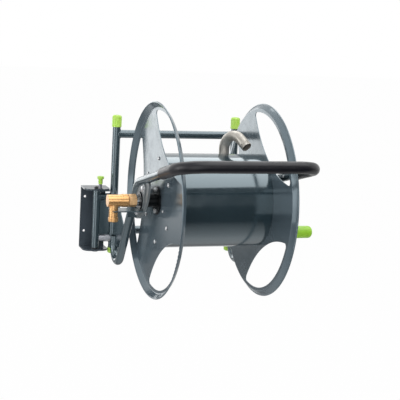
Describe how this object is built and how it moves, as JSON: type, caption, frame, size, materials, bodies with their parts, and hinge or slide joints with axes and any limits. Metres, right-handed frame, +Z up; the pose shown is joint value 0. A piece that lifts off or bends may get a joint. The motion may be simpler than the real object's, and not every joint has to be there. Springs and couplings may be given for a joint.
{
  "type": "wall hose reel",
  "caption": "Wall-hung hose reel that swings on a lockable hinge bracket, with cranked drum, brass inlet elbow, gooseneck outlet and foam-covered front bar.",
  "frame": {"origin": "centre of the rectangle of wall screw holes, on the wall plane", "axes": "+Z up, -Y out from the wall, +X to the right as seen from the front"},
  "size_m": [0.5147, 0.6579, 0.5],
  "materials": {
    "bracket_paint": "satin",
    "frame_paint": "gloss",
    "disc_paint": "gloss",
    "core_paint": "gloss",
    "black_steel": "satin",
    "hub_black": "gloss",
    "zinc": "satin",
    "steel": "polished",
    "green_plastic": "satin",
    "bush_plastic": "matt",
    "foam": "matt",
    "seal_rubber": "matt",
    "brass": "satin"
  },
  "bodies": {
    "wall_mount": {"wall_bracket": "bracket_paint", "pivot_bolt": "black_steel", "pivot_nut": "zinc", "plunger_sleeve": "zinc"},
    "lock_plunger": {"plunger_pin": "steel", "plunger_knob": "green_plastic"},
    "swing_frame": {"swivel_tube": "frame_paint", "swivel_bushes": "bush_plastic", "index_plate": "frame_paint", "upper_stub": "frame_paint", "lower_stub": "frame_paint", "hinge_plate": "frame_paint", "left_post": "frame_paint", "right_post": "frame_paint", "post_caps": "green_plastic", "top_bar": "frame_paint", "lower_bar": "frame_paint", "left_side_tube": "frame_paint", "right_side_tube": "frame_paint", "handle_tube": "frame_paint", "foam_grip": "foam", "left_gusset": "frame_paint", "right_gusset": "frame_paint", "left_web": "frame_paint", "right_web": "frame_paint", "left_bearing": "hub_black", "right_bearing": "hub_black", "bearing_bolts": "zinc", "bearing_nuts": "zinc", "elbow_bracket": "frame_paint", "arm_screws": "zinc", "brass_elbow": "brass", "union_nut": "brass", "inlet_collar": "brass"},
    "drum": {"left_disc": "disc_paint", "right_disc": "disc_paint", "core_shell": "core_paint", "core_cup": "core_paint", "drum_shaft": "steel", "o_rings": "seal_rubber", "left_hub": "hub_black", "right_hub": "hub_black", "hub_bolts": "zinc", "disc_screws": "zinc", "stud_screws": "zinc", "feed_block": "brass", "gooseneck": "steel", "crank_arm": "frame_paint", "crank_nut": "zinc", "knob_bolt": "zinc", "knob_bolt_nut": "zinc"},
    "crank_grip": {"crank_knob": "green_plastic"}
  },
  "joints": [
    {"name": "swing", "type": "hinge", "parent": "wall_mount", "child": "swing_frame", "pos_m": [0, -0.046, 0], "axis": [0, 0, 1], "range_deg": [-90, 0]},
    {"name": "drum_spin", "type": "hinge", "parent": "swing_frame", "child": "drum", "pos_m": [0.2215, -0.338, 0.097], "axis": [1, 0, 0], "continuous": true},
    {"name": "knob_spin", "type": "hinge", "parent": "drum", "child": "crank_grip", "pos_m": [0.4455, -0.43796, 0.03134], "axis": [1, 0, 0], "continuous": true},
    {"name": "lock", "type": "slide", "parent": "wall_mount", "child": "lock_plunger", "axis": [0, 0, 1], "range_m": [-0.007, 0]}
  ]
}
